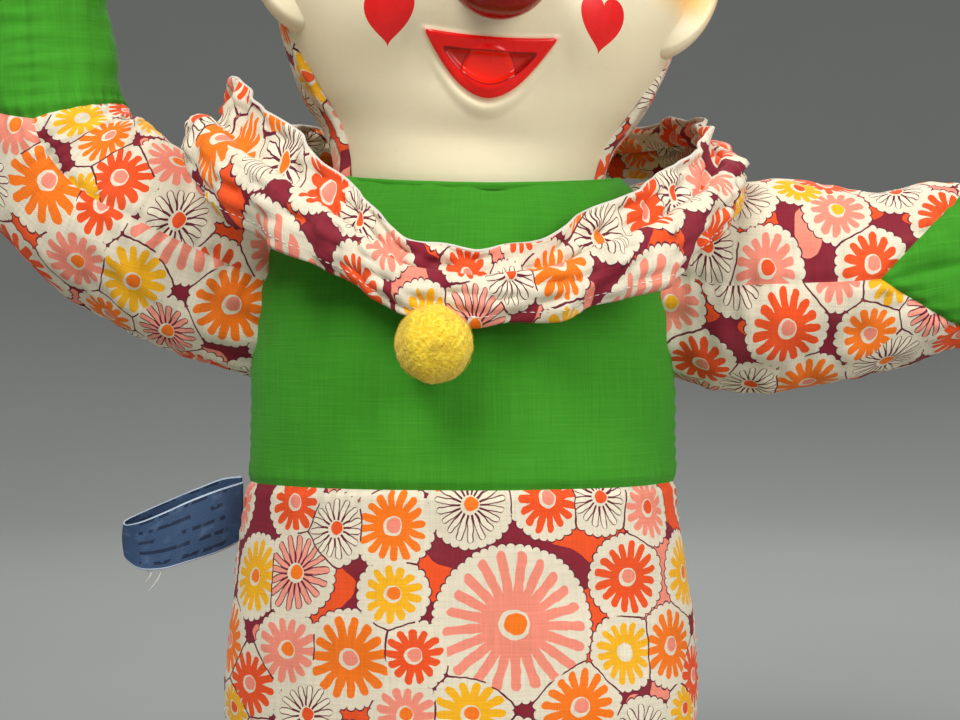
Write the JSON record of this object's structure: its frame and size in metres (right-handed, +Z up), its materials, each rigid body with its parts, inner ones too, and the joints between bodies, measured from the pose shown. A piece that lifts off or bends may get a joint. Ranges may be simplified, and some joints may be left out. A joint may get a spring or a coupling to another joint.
{
  "type": "hand puppet",
  "caption": "Stuffed clown hand puppet with a soft vinyl face, ball nose, neck ruffle, pom-pom, bendable arms and a sleeve for the hand inside its body.",
  "frame": {"origin": "centre of the hand opening, at the hem of the body", "axes": "+Z up along the body, the face looks along -Y, the puppet's own left arm is at +X"},
  "size_m": [0.4056, 0.1645, 0.3921],
  "materials": {
    "green_cotton": "matte",
    "flower_print": "matte",
    "face_vinyl": "satin",
    "red_plastic": "gloss",
    "washer_plastic": "matte",
    "fibre_stuffing": "matte",
    "white_lining": "matte",
    "tube_card": "matte",
    "yellow_felt": "matte",
    "blue_ribbon": "matte",
    "sewing_thread": "matte"
  },
  "bodies": {
    "torso": {"bodice_front": "green_cotton", "bodice_back": "green_cotton", "skirt_front": "flower_print", "skirt_back": "flower_print", "base_panel": "green_cotton", "hand_cuff": "green_cotton", "hand_sleeve": "white_lining", "neck_cord": "sewing_thread", "chest_stuffing": "fibre_stuffing", "skirt_stuffing": "fibre_stuffing", "ruffle_cord": "sewing_thread", "ruffle": "flower_print"},
    "neck": {"finger_tube": "tube_card", "tube_cap": "tube_card"},
    "head": {"face_mask": "face_vinyl", "nose": "red_plastic", "nose_washer": "washer_plastic", "hood_right": "flower_print", "hood_left": "flower_print", "neck_cap": "white_lining", "head_stuffing": "fibre_stuffing"},
    "pompom_swinging": {"pompom": "yellow_felt", "pompom_stitch": "sewing_thread"},
    "label": {"care_label": "blue_ribbon"},
    "left_upper_arm": {"left_upper_sleeve": "flower_print", "left_upper_stuffing": "fibre_stuffing"},
    "left_forearm": {"left_lower_sleeve": "flower_print", "left_mitt": "green_cotton", "left_forearm_stuffing": "fibre_stuffing"},
    "right_upper_arm": {"right_upper_sleeve": "flower_print", "right_upper_stuffing": "fibre_stuffing"},
    "right_forearm": {"right_lower_sleeve": "flower_print", "right_mitt": "green_cotton", "right_forearm_stuffing": "fibre_stuffing"}
  },
  "joints": [
    {"name": "head_nod", "type": "hinge", "parent": "torso", "child": "neck", "pos_m": [0.0025, 0, 0.25], "axis": [0.9941, 0.0906, -0.0591], "range_deg": [-15, 15], "stiffness_Nm_per_rad": 0.6},
    {"name": "head_turn", "type": "hinge", "parent": "neck", "child": "head", "pos_m": [0.0025, 0, 0.25], "axis": [0.0593, 0, 0.9982], "range_deg": [-40, 40]},
    {"name": "left_shoulder_swing", "type": "hinge", "parent": "torso", "child": "left_upper_arm", "pos_m": [0.072, 0, 0.211], "axis": [0, 0, -1], "range_deg": [-15, 40], "stiffness_Nm_per_rad": 0.3},
    {"name": "left_elbow_bend", "type": "hinge", "parent": "left_upper_arm", "child": "left_forearm", "pos_m": [0.15295, 0, 0.21383], "axis": [0, -1, 0], "range_deg": [-15, 55], "stiffness_Nm_per_rad": 0.5},
    {"name": "right_shoulder_swing", "type": "hinge", "parent": "torso", "child": "right_upper_arm", "pos_m": [-0.072, 0, 0.211], "axis": [0, 0, 1], "range_deg": [-15, 34], "stiffness_Nm_per_rad": 0.3},
    {"name": "right_elbow_bend", "type": "hinge", "parent": "right_upper_arm", "child": "right_forearm", "pos_m": [-0.1448, 0, 0.24651], "axis": [0, 1, 0], "range_deg": [-60, 2], "stiffness_Nm_per_rad": 0.5},
    {"name": "label_flap", "type": "hinge", "parent": "torso", "child": "label", "pos_m": [-0.0782, 0, 0.129], "axis": [0, 0, 1], "range_deg": [-35, 35], "stiffness_Nm_per_rad": 0.002},
    {"name": "pompom_swing", "type": "hinge", "parent": "torso", "child": "pompom_swinging", "pos_m": [-0.0082, -0.06, 0.199], "axis": [-1, 0, 0], "range_deg": [0, 30]}
  ]
}
